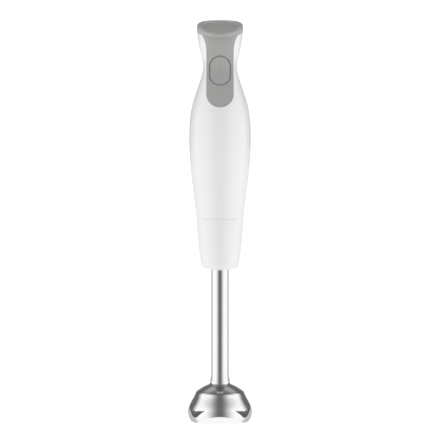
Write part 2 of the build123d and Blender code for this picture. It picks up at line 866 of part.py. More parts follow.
# Foot socket: threaded spigot under the motor body, held by its flange
lug_rise = thread_lead * lug_turn / 360
lug = thread_bar(
    spigot_radius - lug_depth, spigot_radius + lug_depth, lug_height, lug_z - lug_rise / 2, lug_rise
)
with BuildPart() as foot_socket:
    revolve(ring_section(spigot_radius - spigot_wall, spigot_radius, spigot_bottom_z, rib_top_z))
    revolve(ring_section(0, spigot_radius, rib_top_z - socket_web, rib_top_z))
    revolve(ring_section(0, spigot_radius + socket_flange_reach, flange_bottom_z, flange_top_z))
    for start in range(thread_starts):
        add(lug.rotate(Axis.Z, 360 / thread_starts * start))
    with BuildSketch(Plane.XY.offset(spigot_bottom_z)):
        Circle(spigot_radius - spigot_wall)
    extrude(amount=rib_top_z - socket_web - spigot_bottom_z, mode=Mode.SUBTRACT)
    with BuildSketch(Plane.XY.offset(spigot_bottom_z)):
        Circle(socket_seal_radius + fit_gap)
    extrude(amount=cut_past, mode=Mode.SUBTRACT)
foot_socket.part.label = "foot_socket"
export_step(foot_socket.part, "parts/foot_socket.step")

# Seal that keeps liquid out of the motor body around the shaft
with BuildPart() as socket_seal:
    revolve(ring_section(bearing_bore, socket_seal_radius, rib_top_z - socket_web, rib_top_z))
    revolve(
        ring_section(
            bearing_bore, socket_seal_flange, rib_top_z, rib_top_z + socket_seal_flange_height
        )
    )
socket_seal.part.label = "socket_seal"
export_step(socket_seal.part, "parts/socket_seal.step")

# Lower damper: rubber cup ring between the housing rib and the motor
damper_outer = motor_radius + fit_gap + damper_wall
with BuildPart() as lower_damper:
    revolve(
        ring_section(motor_radius - damper_reach, damper_outer, damper_z, damper_z + damper_thickness)
    )
    revolve(
        ring_section(
            motor_radius + fit_gap,
            damper_outer,
            damper_z + damper_thickness,
            damper_z + damper_thickness + damper_skirt,
        )
    )
lower_damper.part.label = "lower_damper"
export_step(lower_damper.part, "parts/lower_damper.step")

# Motor base: lower end plate with the bearing seat
with BuildPart() as motor_base:
    revolve(ring_section(shaft_hole_radius, motor_radius, base_z, base_top_z))
    revolve(
        ring_section(
            lower_bearing_radius + fit_gap, base_boss_radius, base_top_z, base_top_z + base_boss_height
        )
    )
    with BuildSketch(Plane.XY.offset(lower_bearing_z)):
        Circle(lower_bearing_radius + fit_gap)
    extrude(amount=cut_past, mode=Mode.SUBTRACT)
motor_base.part.label = "motor_base"
export_step(motor_base.part, "parts/motor_base.step")

with BuildPart() as lower_bearing:
    revolve(
        ring_section(
            bearing_bore,
            lower_bearing_radius,
            lower_bearing_z + end_gap,
            lower_bearing_z + lower_bearing_height,
        )
    )
lower_bearing.part.label = "lower_bearing"
export_step(lower_bearing.part, "parts/lower_bearing.step")

# Motor can and the two magnets inside it
can_bore = motor_radius - can_wall
with BuildPart() as motor_can:
    revolve(ring_section(can_bore, motor_radius, can_z, can_top_z))
motor_can.part.label = "motor_can"
export_step(motor_can.part, "parts/motor_can.step")

with BuildPart() as motor_magnets:
    with BuildSketch(Plane.XY.offset(stack_z - magnet_overhang)):
        Circle(can_bore - fit_gap)
        Circle(stack_radius + air_gap, mode=Mode.SUBTRACT)
        for side in (-1, 1):
            with BuildLine():
                edge = cut_past * math.tan(math.radians(90 - magnet_half_angle))
                Polyline((0, 0), (edge, side * cut_past), (-edge, side * cut_past), close=True)
            make_face(mode=Mode.SUBTRACT)
    extrude(amount=stack_length + 2 * magnet_overhang)
motor_magnets.part.label = "motor_magnets"
export_step(motor_magnets.part, "parts/motor_magnets.step")

# Rotor: shaft, slotted core, windings, commutator and fan
with BuildPart() as rotor_shaft:
    with BuildSketch(Plane.XY.offset(shaft_bottom_z)):
        Circle(shaft_radius)
    extrude(amount=shaft_top_z - shaft_bottom_z)
rotor_shaft.part.label = "rotor_shaft"
export_step(rotor_shaft.part, "parts/rotor_shaft.step")

with BuildPart() as armature_core:
    with BuildSketch(Plane.XY.offset(stack_z)):
        Circle(stack_radius)
        Circle(core_bore, mode=Mode.SUBTRACT)
        with PolarLocations(stack_radius - slot_depth / 2, slot_count):
            Rectangle(slot_depth + fit_gap, slot_width, mode=Mode.SUBTRACT)
    extrude(amount=stack_length)
armature_core.part.label = "armature_core"
export_step(armature_core.part, "parts/armature_core.step")

with BuildPart() as armature_windings:
    for bottom in (stack_z - winding_height - end_gap, stack_top_z + end_gap):
        revolve(
            ring_section(
                winding_inner_radius, winding_outer_radius, bottom, bottom + winding_height
            )
        )
    fillet(armature_windings.edges().filter_by(GeomType.CIRCLE), winding_edge_radius)
    bar_depth = winding_outer_radius - (stack_radius - slot_depth) - winding_edge_radius
    with BuildSketch(Plane.XY.offset(stack_z - winding_height / 2)):
        with PolarLocations(stack_radius - slot_depth + bar_depth / 2 + fit_gap, slot_count):
            Rectangle(bar_depth, slot_width - 2 * fit_gap)
    extrude(amount=stack_length + winding_height)
armature_windings.part.label = "armature_windings"
export_step(armature_windings.part, "parts/armature_windings.step")

with BuildPart() as commutator:
    with BuildSketch(Plane.XY.offset(commutator_z)):
        Circle(commutator_radius)
        Circle(core_bore, mode=Mode.SUBTRACT)
        with PolarLocations(commutator_radius, slot_count):
            Rectangle(2 * commutator_slot_depth, commutator_slot, mode=Mode.SUBTRACT)
    extrude(amount=commutator_height)
commutator.part.label = "commutator"
export_step(commutator.part, "parts/commutator.step")

with BuildPart() as cooling_fan:
    with BuildSketch(Plane.XY.offset(fan_z)):
        Circle(fan_radius)
    extrude(amount=fan_disc)
    with BuildSketch(Plane.XY.offset(fan_z)):
        Circle(fan_hub_radius)
        with PolarLocations((fan_blade_radius + fan_blade_root) / 2, fan_blade_count):
            Rectangle(fan_blade_radius - fan_blade_root, fan_blade)
    extrude(amount=fan_height)
    with BuildSketch(Plane.XY.offset(fan_z)):
        Circle(core_bore)
    extrude(amount=fan_height, mode=Mode.SUBTRACT)
cooling_fan.part.label = "cooling_fan"
export_step(cooling_fan.part, "parts/cooling_fan.step")

# Brush plate: upper end plate with the bearing seat and two brush guides
guide_length = can_bore + can_wall / 2 - commutator_radius - air_gap
guide_middle_x = commutator_radius + air_gap + guide_length / 2
with BuildPart() as brush_plate:
    revolve(ring_section(can_bore, motor_radius, plate_z, plate_disc_z))
    revolve(ring_section(shaft_hole_radius, motor_radius, plate_disc_z, plate_top_z))
    revolve(
        ring_section(
            upper_bearing_radius + fit_gap, plate_boss_radius, plate_top_z, plate_boss_top_z
        )
    )
    guide_bottom_z = brush_z - brush_height / 2 - fit_gap - brush_guide_wall
    with BuildSketch(Plane.XY.offset(guide_bottom_z)):
        with GridLocations(2 * guide_middle_x, 1, 2, 1):
            Rectangle(guide_length, brush_width + 2 * (fit_gap + brush_guide_wall))
    extrude(until=Until.NEXT)
    with BuildSketch(Plane.YZ.offset(-can_bore)):
        with Locations((0, brush_z)):
            Rectangle(brush_width + 2 * fit_gap, brush_height + 2 * fit_gap)
    extrude(amount=2 * can_bore, mode=Mode.SUBTRACT)
brush_plate.part.label = "brush_plate"
export_step(brush_plate.part, "parts/brush_plate.step")

with BuildPart() as upper_bearing:
    revolve(
        ring_section(
            bearing_bore, upper_bearing_radius, plate_top_z + end_gap, plate_boss_top_z - end_gap
        )
    )
upper_bearing.part.label = "upper_bearing"
export_step(upper_bearing.part, "parts/upper_bearing.step")

# Carbon brushes and their springs, in the guides
brush_inner_x = commutator_radius + end_gap
with BuildPart() as carbon_brushes:
    with BuildSketch(Plane.XY.offset(brush_z - brush_height / 2)):
        with GridLocations(2 * brush_inner_x + brush_length, 1, 2, 1):
            Rectangle(brush_length, brush_width)
    extrude(amount=brush_height)
carbon_brushes.part.label = "carbon_brushes"
export_step(carbon_brushes.part, "parts/carbon_brushes.step")

brush_spring_x = brush_inner_x + brush_length + end_gap
brush_spring_length = can_bore - brush_spring_x - slide_gap
brush_coil = coil(brush_spring_radius, brush_spring_wire, brush_spring_length, brush_spring_turns)
with BuildPart() as brush_springs:
    for side in (-1, 1):
        seat = Plane(origin=(side * brush_spring_x, 0, brush_z), x_dir=(0, 1, 0), z_dir=(side, 0, 0))
        add(brush_coil.moved(seat.location))
brush_springs.part.label = "brush_springs"
export_step(brush_springs.part, "parts/brush_springs.step")

# Upper damper: rubber ring between the brush plate and the housing
with BuildPart() as upper_damper:
    revolve(
        ring_section(
            motor_radius + fit_gap,
            motor_radius + fit_gap + upper_damper_wall,
            plate_disc_z - upper_damper_height,
            plate_disc_z,
        )
    )
upper_damper.part.label = "upper_damper"
export_step(upper_damper.part, "parts/upper_damper.step")

# Motor leads from the board to the brush plate, around the fan
lead_y = board_back_y - board_thickness / 2
lead_top_z = carrier_bottom_z - end_gap
lead_turn_z = fan_z + fan_height + 2 * lead_bend_radius
lead_low_z = plate_top_z + lead_lift
with BuildPart() as motor_leads:
    for side in (-1, 1):
        with BuildLine() as route:
            FilletPolyline(
                (side * lead_half_spacing, lead_y, lead_top_z),
                (side * lead_half_spacing, lead_y, lead_turn_z + lead_bend_radius),
                (side * lead_side_x, 0, lead_turn_z - lead_bend_radius),
                (side * lead_side_x, 0, lead_low_z),
                (side * lead_plate_x, 0, lead_low_z),
                (side * lead_plate_x, 0, plate_top_z),
                radius=lead_corner_radius,
            )
        with BuildSketch(Plane(origin=route.line @ 0, x_dir=(1, 0, 0), z_dir=route.line % 0)):
            Circle(lead_radius)
        sweep(path=route.line)
motor_leads.part.label = "motor_leads"
export_step(motor_leads.part, "parts/motor_leads.step")

# Drive dog on the lower end of the rotor shaft
with BuildPart() as drive_dog:
    with BuildSketch(Plane.XY.offset(dog_bottom_z)):
        RegularPolygon(dog_radius, dog_sides)
    extrude(amount=dog_length)
    with BuildSketch(Plane.XY.offset(shaft_bottom_z)):
        Circle(core_bore)
    extrude(amount=dog_length, mode=Mode.SUBTRACT)
drive_dog.part.label = "drive_dog"
export_step(drive_dog.part, "parts/drive_dog.step")

# Foot collar: white cone with the female thread, a sleeve for the tube and stiffening ribs
collar_floor_z = collar_bottom_z + collar_floor
bore_floor_z = spigot_bottom_z - slide_gap
groove_height = lug_height + 2 * thread_gap
groove_back = thread_gap / spigot_radius
groove_start_z = lug_z - lug_rise / 2 - thread_lead * groove_back / (2 * math.pi)
groove_rise = collar_top_z + groove_height - groove_start_z
groove = thread_bar(
    spigot_radius, spigot_radius + lug_depth + thread_gap, groove_height, groove_start_z, groove_rise
)
inner_end_radius = collar_end_radius - collar_wall
with BuildPart() as foot_collar:
    with BuildSketch(Plane.XZ) as collar_section:
        with BuildLine():
            Polyline(
                (sleeve_bore_radius, collar_bottom_z),
                (collar_dome_radius, collar_bottom_z),
                (collar_end_radius, collar_end_z),
            )
            ThreePointArc(
                (collar_end_radius, collar_end_z),
                (collar_mid_radius, collar_mid_z),
                (seam_radius, collar_top_z),
            )
            Polyline(
                (seam_radius, collar_top_z),
                (collar_bore_radius, collar_top_z),
                (collar_bore_radius, bore_floor_z),
                (inner_end_radius, collar_floor_z),
                (sleeve_radius, collar_floor_z),
                (sleeve_radius, tube_top_z),
                (sleeve_bore_radius, tube_top_z),
                (sleeve_bore_radius, collar_bottom_z),
            )
        make_face()
        corners = collar_section.vertices()
        fillet(
            [
                corners.sort_by_distance((collar_end_radius, collar_end_z))[0],
                corners.sort_by_distance((collar_dome_radius, collar_bottom_z))[0],
            ],
            radius=collar_edge_radius,
        )
    revolve()
    with BuildSketch(Plane.XY.offset(collar_floor_z)):
        with PolarLocations((sleeve_radius + inner_end_radius) / 2, collar_rib_count):
            Rectangle(inner_end_radius - sleeve_radius + collar_wall, collar_rib)
    extrude(amount=tube_top_z - collar_floor_z - collar_floor)
    for start in range(thread_starts):
        turn = 360 / thread_starts * start - math.degrees(groove_back)
        add(groove.rotate(Axis.Z, turn), mode=Mode.SUBTRACT)
foot_collar.part.label = "foot_collar"
export_step(foot_collar.part, "parts/foot_collar.step")

# Steel tube with its plain bearings and the seal at its lower end
with BuildPart() as shaft_tube:
    revolve(ring_section(tube_bore_radius, tube_radius, tube_bottom_z, tube_top_z))
shaft_tube.part.label = "shaft_tube"
export_step(shaft_tube.part, "parts/shaft_tube.step")

bush_radius = tube_bore_radius - fit_gap
with BuildPart() as upper_bush:
    revolve(ring_section(bearing_bore, bush_radius, tube_top_z - upper_bush_length, tube_top_z + end_gap))
    revolve(
        ring_section(
            bearing_bore, tube_radius, tube_top_z + end_gap, tube_top_z + end_gap + bush_flange_height
        )
    )
upper_bush.part.label = "upper_bush"
export_step(upper_bush.part, "parts/upper_bush.step")

with BuildPart() as lower_bush:
    revolve(ring_section(bearing_bore, bush_radius, lower_bush_z, lower_bush_z + lower_bush_length))
lower_bush.part.label = "lower_bush"
export_step(lower_bush.part, "parts/lower_bush.step")

with BuildPart() as blade_seal:
    revolve(ring_section(bearing_bore, bush_radius, tube_bottom_z, tube_bottom_z + blade_seal_height))
blade_seal.part.label = "blade_seal"
export_step(blade_seal.part, "parts/blade_seal.step")

# Thrust washer between the upper bush and the drive cup
with BuildPart() as thrust_washer:
    revolve(ring_section(bearing_bore, washer_radius, washer_z, washer_z + washer_thickness))
thrust_washer.part.label = "thrust_washer"
export_step(thrust_washer.part, "parts/thrust_washer.step")

# Bell: pressed steel guard with a domed roof, a flared skirt and drawn-in feet
with BuildPart() as bell:
    revolve(bell_section(0), axis=Axis.Z)
    with BuildSketch(Plane.XY.offset(crease_z)):
        Circle(neck_outer_radius)
    extrude(amount=bell_neck_z - crease_z)
    fillet(
        bell.edges().filter_by_position(Axis.Z, bell_roof_z - end_gap, bell_roof_z + end_gap),
        radius=neck_fillet_radius,
    )
    fillet(
        bell.edges().filter_by_position(Axis.Z, crease_z - end_gap, crease_z + end_gap),
        radius=crease_fillet_radius,
    )
    revolve(bell_section(bell_wall), axis=Axis.Z, mode=Mode.SUBTRACT)
    with BuildSketch(Plane.XY):
        Circle(tube_radius + fit_gap)
    extrude(amount=cut_past, mode=Mode.SUBTRACT)
    split(bisect_by=Plane.XY, keep=Keep.TOP)
    for arch in range(arch_count):
        arch_angle = 360 / arch_count * arch
        with BuildSketch(bell_direction(arch_angle)):
            with Locations((0, arch_height - arch_radius)):
                Circle(arch_radius)
        extrude(amount=cut_past, mode=Mode.SUBTRACT)
        for side in (-1, 1):
            with BuildSketch(bell_direction(arch_angle + side * window_angle)):
                with BuildLine():
                    ThreePointArc(
                        (-side * window_half_width, window_tip_z),
                        (0, window_top_z),
                        (side * window_half_width, window_tip_z),
                    )
                    Spline(
                        (-side * window_half_width, window_tip_z),
                        (side * window_low_offset, window_bottom_z),
                        (side * window_half_width, window_tip_z),
                    )
                make_face()
            extrude(amount=cut_past, mode=Mode.SUBTRACT)
bell.part.label = "bell"
export_step(bell.part, "parts/bell.step")

# Blade shaft: rod through the foot, with a clip groove and a stud for the blade
stud_top_z = blade_z + blade_thickness
stud_bottom_z = blade_z - nut_height
with BuildPart() as blade_shaft:
    with BuildSketch(Plane.XY.offset(stud_top_z)):
        Circle(shaft_radius)
    extrude(amount=blade_shaft_top_z - stud_top_z)
    with BuildSketch(Plane.XY.offset(stud_bottom_z)):
        Circle(blade_stud_radius)
    extrude(amount=stud_top_z - stud_bottom_z)
    revolve(
        ring_section(
            clip_groove_radius, shaft_radius + fit_gap, clip_z - end_gap, clip_z + clip_thickness + end_gap
        ),
        mode=Mode.SUBTRACT,
    )
blade_shaft.part.label = "blade_shaft"
export_step(blade_shaft.part, "parts/blade_shaft.step")

# Drive cup: female half of the coupling on the top of the blade shaft
with BuildPart() as drive_cup:
    with BuildSketch(Plane.XY.offset(cup_bottom_z)):
        Circle(cup_radius)
    extrude(amount=cup_top_z - cup_bottom_z)
    with BuildSketch(Plane.XY.offset(cup_floor_z)):
        RegularPolygon(dog_radius + coupling_gap, dog_sides)
    extrude(amount=cup_socket_depth, mode=Mode.SUBTRACT)
    with BuildSketch(Plane.XY.offset(cup_bottom_z)):
        Circle(core_bore)
    extrude(amount=blade_shaft_top_z + end_gap - cup_bottom_z, mode=Mode.SUBTRACT)
drive_cup.part.label = "drive_cup"
export_step(drive_cup.part, "parts/drive_cup.step")

# Blade: one wing bent up and one bent down, ground to narrow tips
with BuildPart() as blade:
    with BuildSketch(Plane.XZ.offset(-blade_width / 2)):
        with BuildLine():
            Polyline(
                (-blade_reach, blade_z + blade_rise),
                (-blade_flat, blade_z),
                (blade_flat, blade_z),
                (blade_reach, blade_z - blade_fall),
                (blade_reach, blade_z - blade_fall + blade_thickness),
                (blade_flat, blade_z + blade_thickness),
                (-blade_flat, blade_z + blade_thickness),
                (-blade_reach, blade_z + blade_rise + blade_thickness),
                close=True,
            )
        make_face()
    extrude(amount=blade_width)
    with BuildSketch(Plane.XY):
        with BuildLine():
            Polyline(
                (-blade_reach, -blade_width / 2),
                (-blade_reach, blade_tip_width - blade_width / 2),
                (-blade_flat, blade_width / 2),
                (blade_reach, blade_width / 2),
                (blade_reach, blade_width / 2 - blade_tip_width),
                (blade_flat, -blade_width / 2),
                close=True,
            )
        make_face()
    extrude(amount=cut_past, mode=Mode.INTERSECT)
    with BuildSketch(Plane.XY):
        Circle(blade_stud_radius + fit_gap)
    extrude(amount=cut_past, mode=Mode.SUBTRACT)
blade.part.label = "blade"
export_step(blade.part, "parts/blade.step")

# Blade nut under the blade and the clip that holds the shaft against the seal
nut_wall_top = blade_z - end_gap
with BuildPart() as blade_nut:
    with BuildSketch(Plane.XY.offset(stud_bottom_z)):
        RegularPolygon(nut_across_corners_radius, 6)
    extrude(amount=nut_wall_top - stud_bottom_z)
    with BuildSketch(Plane.XY.offset(stud_bottom_z - nut_dome)):
        RegularPolygon(nut_across_corners_radius - nut_dome, 6)
    with BuildSketch(Plane.XY.offset(stud_bottom_z)):
        RegularPolygon(nut_across_corners_radius, 6)
    loft()
    with BuildSketch(Plane.XY.offset(stud_bottom_z - end_gap)):
        Circle(blade_stud_radius + fit_gap)
    extrude(amount=nut_height + end_gap, mode=Mode.SUBTRACT)
blade_nut.part.label = "blade_nut"
export_step(blade_nut.part, "parts/blade_nut.step")

with BuildPart() as shaft_clip:
    with BuildSketch(Plane.XY.offset(clip_z)):
        Circle(clip_radius)
        Circle(clip_groove_radius + fit_gap, mode=Mode.SUBTRACT)
        with Locations((clip_radius / 2, 0)):
            Rectangle(clip_radius, clip_opening, mode=Mode.SUBTRACT)
    extrude(amount=clip_thickness)
shaft_clip.part.label = "shaft_clip"
export_step(shaft_clip.part, "parts/shaft_clip.step")
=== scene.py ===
"""Finishes, small trim and a studio for an immersion blender, laid out as an add-on and run as a script."""

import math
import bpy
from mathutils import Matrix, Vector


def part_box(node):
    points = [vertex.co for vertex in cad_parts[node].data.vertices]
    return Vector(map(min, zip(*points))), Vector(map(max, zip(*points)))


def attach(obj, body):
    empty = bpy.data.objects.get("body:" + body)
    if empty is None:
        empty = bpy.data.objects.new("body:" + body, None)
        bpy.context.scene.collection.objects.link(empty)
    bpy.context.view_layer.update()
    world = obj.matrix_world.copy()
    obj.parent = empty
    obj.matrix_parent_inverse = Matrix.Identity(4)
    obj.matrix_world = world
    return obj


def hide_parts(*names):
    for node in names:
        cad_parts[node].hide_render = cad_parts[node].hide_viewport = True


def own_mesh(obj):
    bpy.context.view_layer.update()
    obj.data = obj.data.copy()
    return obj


bl_info = {
    "name": "Immersion Blender Looks",
    "version": (1, 0, 0),
    "blender": (4, 5, 0),
    "location": "View3D > Sidebar > Immersion Blender",
    "description": "Finishes the packed solids of an immersion blender and sets up its studio",
    "category": "Object",
}

import bmesh
import bpy
from bpy.props import FloatProperty, FloatVectorProperty, IntProperty, PointerProperty
from bpy.types import Operator, Panel, PropertyGroup
from mathutils import Matrix, Vector

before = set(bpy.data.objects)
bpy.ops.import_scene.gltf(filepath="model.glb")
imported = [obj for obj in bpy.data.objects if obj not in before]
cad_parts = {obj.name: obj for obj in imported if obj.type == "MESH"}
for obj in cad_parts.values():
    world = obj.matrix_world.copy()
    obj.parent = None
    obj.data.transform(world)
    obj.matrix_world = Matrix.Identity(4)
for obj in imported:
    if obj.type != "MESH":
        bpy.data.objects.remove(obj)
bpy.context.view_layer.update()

FULL_TURN = 2.0 * math.pi
WHITE_LIGHT = (1.0, 1.0, 1.0, 1.0)
SENSOR_WIDTH = 36.0

# How finely the new meshes are divided, and the angle from which an edge stays sharp
PIP_SIDES, PIP_RINGS = 24, 12
SPRING_STEPS, WIRE_SIDES = 40, 10
BEAD_SIDES, BEAD_RINGS = 96, 12
DOME_SIDES, DOME_RINGS = 64, 32
SHARP_EDGE = math.radians(40)

# Pips: height over radius, and how far before the button the search for its face begins
PIP_FLATNESS = 0.5
PIP_SEARCH = 0.05

# Share of the weld's reach that is sunk into the tube
BEAD_SINK = 0.25

# How much smoother than the grip panel the button and its pips are
BUTTON_POLISH = 0.08
PIP_POLISH = 0.1

# Parting line of the housings: how much of it shows, and its shade of the white
PARTING_STRENGTH = 0.35
PARTING_SHADE = 0.45

# Lines in steel: their fineness along their run as a share of that across it
TUBE_LINE_RUN = 0.015
BELL_LINE_RUN = 0.02
GRINDING_RUN = 0.05

# How much rougher than the outside the bell's inside is
INSIDE_DULLNESS = 0.25

# Turned rings and wound wire in radians per metre, and the thickness of one core sheet
RING_RATE = 9000.0
SHEET_PITCH = 0.0005

# Studio light, from the start to the end of each soft edge: around the axis in degrees from the camera
GAP_TO_PANEL = (4.0, 58.0)
PANEL_TO_CORNER = (95.0, 125.0)
CORNER_TO_SWEEP = (160.0, 168.0)
LAMP_BACK = (110.0, 140.0)

# The same upwards, from nought at the horizon to one overhead
SHEEN_TO_CORNER = (-0.03, 0.06)
SWEEP_TOP = (0.2, 0.3)
WALL_TO_CEILING = (0.5, 0.95)
LAMP_FOOT = (0.64, 0.76)
LAMP_TOP = (0.88, 0.95)

# The same sideways, from nought in the middle to one at the side
LAMP_SPLIT = (0.06, 0.16)

# Keeps the division by a direction's level part from failing straight overhead
LEAST_LEVEL = 1e-5


def colour_property(name, description, default):
    """Linear colour that a user would change."""
    return FloatVectorProperty(
        name=name, description=description, default=default, subtype="COLOR", size=3, min=0.0, max=1.0
    )


def factor_property(name, description, default):
    """Share from none to all."""
    return FloatProperty(
        name=name, description=description, default=default, subtype="FACTOR", min=0.0, max=1.0
    )


def length_property(name, description, default):
    """Length in metres."""
    return FloatProperty(
        name=name, description=description, default=default, subtype="DISTANCE", unit="LENGTH", precision=5
    )


def count_property(name, description, default):
    """Number of like things."""
    return IntProperty(name=name, description=description, default=default, min=1)


def light_property(name, description, default):
    """Brightness, where one is plain white."""
    return FloatProperty(name=name, description=description, default=default)


class HousingFinish(PropertyGroup):
    """White moulded shells and the grey panel."""

    white: colour_property("White", "Colour of the motor body and foot collar", (0.82, 0.82, 0.815))
    white_gloss: factor_property("White roughness", "Roughness of the white mouldings", 0.24)
    grey: colour_property("Grey", "Colour of the grip panel and button", (0.385, 0.38, 0.372))
    cap: colour_property("Cap", "Colour of the cap", (0.41, 0.405, 0.397))
    grey_roughness: factor_property("Grey roughness", "Roughness of the grip panel", 0.5)
    seal: colour_property("Seal", "Colour of the soft ring around the button", (0.3, 0.3, 0.296))
    grain: length_property("Grain", "Size of the grip panel's fine moulded grain", 0.0005)
    parting: length_property("Parting line", "Half width of the line between the two housings", 0.00011)


class SteelFinish(PropertyGroup):
    """Polished tube and bell, ground blade."""

    steel: colour_property("Steel", "Colour of the polished steel", (0.595, 0.592, 0.586))
    polish: factor_property("Polish roughness", "Roughness of the tube", 0.09)
    bell_polish: factor_property("Bell roughness", "Roughness of the bell and its weld", 0.17)
    ground: factor_property("Ground roughness", "Roughness of the blade's ground faces", 0.26)
    inside: colour_property("Inside", "Colour of the bell's duller inside", (0.4, 0.4, 0.405))
    line_pitch: length_property("Line pitch", "Spacing of the fine polishing lines", 0.0007)


class TrimSizes(PropertyGroup):
    """Small trim that the solids leave out, and the button's return spring."""

    pip_count: count_property("Pips", "Raised pips on the button", 5)
    pip_radius: length_property("Pip radius", "Radius of one pip", 0.00055)
    pip_pitch: length_property("Pip pitch", "Distance between pips", 0.0026)
    spring_turns: count_property("Spring turns", "Turns of the button's spring", 6)
    spring_wire: length_property("Spring wire", "Radius of the spring's wire", 0.00025)
    button_travel: length_property("Button travel", "How far the button goes in", 0.0025)
    bead_reach: length_property("Bead reach", "How far the weld stands out from the tube", 0.0009)
    bead_height: length_property("Bead height", "How far the weld runs up the tube", 0.01)


class StudioSetup(PropertyGroup):
    """Camera, floor and light."""

    camera_distance: length_property("Camera distance", "From the lens to the drive axis", 1.195)
    camera_height: length_property("Camera height", "Height of the lens over the floor", 0.194)
    lens: FloatProperty(name="Lens", description="Focal length in millimetres", default=100.7, min=1.0)
    floor_size: length_property("Floor size", "Side of the square floor", 8.0)
    floor_colour: colour_property("Floor", "Colour of the floor", (0.36, 0.36, 0.36))
    floor_glow: light_property("Floor glow", "Light that the floor's sweep gives off", 0.85)
    backdrop: light_property("Backdrop", "Brightness of the wall behind the object", 1.1)
    softbox: light_property("Softbox", "Brightness of the panels at both sides", 1.64)
    ceiling: light_property("Ceiling", "Brightness overhead", 0.22)
    gap: light_property("Gap", "Brightness of the dark gap around the camera", 0.22)
    corner: light_property("Corners", "Brightness of the dark corners behind the panels", 0.2)
    lamp: light_property("Lamps", "Brightness of the two high lamps at the back", 0.6)
    sheen: light_property("Sheen", "Brightness of the floor at the back, in reflections", 0.8)


class Signal:
    """A node's output that takes part in Python expressions."""

    def __init__(self, finish, socket):
        self.finish = finish
        self.socket = socket

    def math(self, operation, *values):
        """Math node on this value and others."""
        inputs = dict(enumerate((self, *values)))
        return self.finish.node("ShaderNodeMath", {"operation": operation}, inputs)

    def __add__(self, other):
        return self.math("ADD", other)

    __radd__ = __add__

    def __sub__(self, other):
        return self.math("SUBTRACT", other)

    def __rsub__(self, other):
        return (self * -1.0) + other

    def __mul__(self, other):
        return self.math("MULTIPLY", other)

    __rmul__ = __mul__

    def __truediv__(self, other):
        return self.math("DIVIDE", other)

    def __abs__(self):
        return self.math("ABSOLUTE")

    def below(self, limit):
        """One where this value is under a limit."""
        return self.math("LESS_THAN", limit)

    def root(self):
        """Square root."""
        return self.math("SQRT")

    def waves(self, rate):
        """Even ripple from nought to one along this value."""
        return (self * rate).math("SINE") * 0.5 + 0.5

    def step(self, low, high):
        """Smooth rise from nought at low to one at high."""
        settings = {"interpolation_type": "SMOOTHSTEP"}
        values = {"Value": self, "From Min": low, "From Max": high}
        return self.finish.node("ShaderNodeMapRange", settings, values, "Result")

    def swing(self, middle, span):
        """Value that this one, from nought to one, moves around a middle."""
        return middle + (self - 0.5) * span

    def between(self, first, second):
        """First value where this one is nought, second where it is one."""
        return first + self * (second - first)


class Finish:
    """A node tree under construction: a material, or the studio's world."""

    def __init__(self, tree):
        self.tree = tree
        tree.nodes.clear()

    def node(self, kind, settings=None, values=None, output=0):
        """Adds a node: its settings first, then the values or links of its sockets."""
        node = self.tree.nodes.new(kind)
        for key, value in (settings or {}).items():
            setattr(node, key, value)
        for key, value in (values or {}).items():
            if isinstance(value, Signal):
                self.tree.links.new(value.socket, node.inputs[key])
            else:
                node.inputs[key].default_value = value
        return Signal(self, node.outputs[output])

    def parts(self, vector):
        """The three parts of a vector."""
        first = self.node("ShaderNodeSeparateXYZ", values={0: vector})
        return [Signal(self, socket) for socket in first.socket.node.outputs]

    def place(self):
        """Point on the surface at rest, in metres, and its three parts."""
        where = self.node("ShaderNodeTexCoord", output="Object")
        return where, *self.parts(where)

    def noise(self, where, scale, detail, roughness=0.55):
        """Soft noise from nought to one."""
        values = {"Vector": where, "Scale": scale, "Detail": detail, "Roughness": roughness}
        return self.node("ShaderNodeTexNoise", values=values, output="Fac")

    def stretched(self, where, scale):
        """Place scaled differently along each axis."""
        return self.node("ShaderNodeVectorMath", {"operation": "MULTIPLY"}, {0: where, 1: scale})

    def mix(self, factor, first, second):
        """Blend of two colours."""
        settings = {"data_type": "RGBA"}
        values = {"Factor": factor, 6: self.rgba(first), 7: self.rgba(second)}
        return self.node("ShaderNodeMix", settings, values, 2)

    def shades(self, factor, colour, darkest, lightest):
        """One colour that a factor takes from its darkest to its lightest shade."""
        return self.mix(factor, shade(colour, darkest), shade(colour, lightest))

    @staticmethod
    def rgba(colour):
        """Colour with its alpha, or a link as it is."""
        return colour if isinstance(colour, Signal) else (*colour, 1.0)

    def bump(self, height, strength, distance):
        """Surface normal raised by a height."""
        values = {"Height": height, "Strength": strength, "Distance": distance}
        return self.node("ShaderNodeBump", values=values)

    def surface(self, colour, roughness, metallic=0.0, normal=None, ior=1.5, **constants):
        """Principled shader on the material's output."""
        values = {"Base Color": self.rgba(colour), "Roughness": roughness, "Metallic": metallic, "IOR": ior}
        values.update({key.replace("_", " ").title(): value for key, value in constants.items()})
        if normal is not None:
            values["Normal"] = normal
        self.finish_with("ShaderNodeOutputMaterial", self.node("ShaderNodeBsdfPrincipled", values=values))

    def finish_with(self, kind, shader):
        """Last node of the tree."""
        node = self.tree.nodes.new(kind)
        self.tree.links.new(shader.socket, node.inputs["Surface"])


def new_finish(name):
    """Fresh material and its node tree."""
    material = bpy.data.materials.new(name)
    material.use_nodes = True
    return material, Finish(material.node_tree)


def shade(colour, factor):
    """Colour made lighter or darker."""
    return tuple(min(1.0, max(0.0, part * factor)) for part in colour)


def give(material, *nodes):
    """Puts one material on CAD nodes."""
    for name in nodes:
        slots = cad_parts[name].data.materials
        slots.clear()
        slots.append(material)


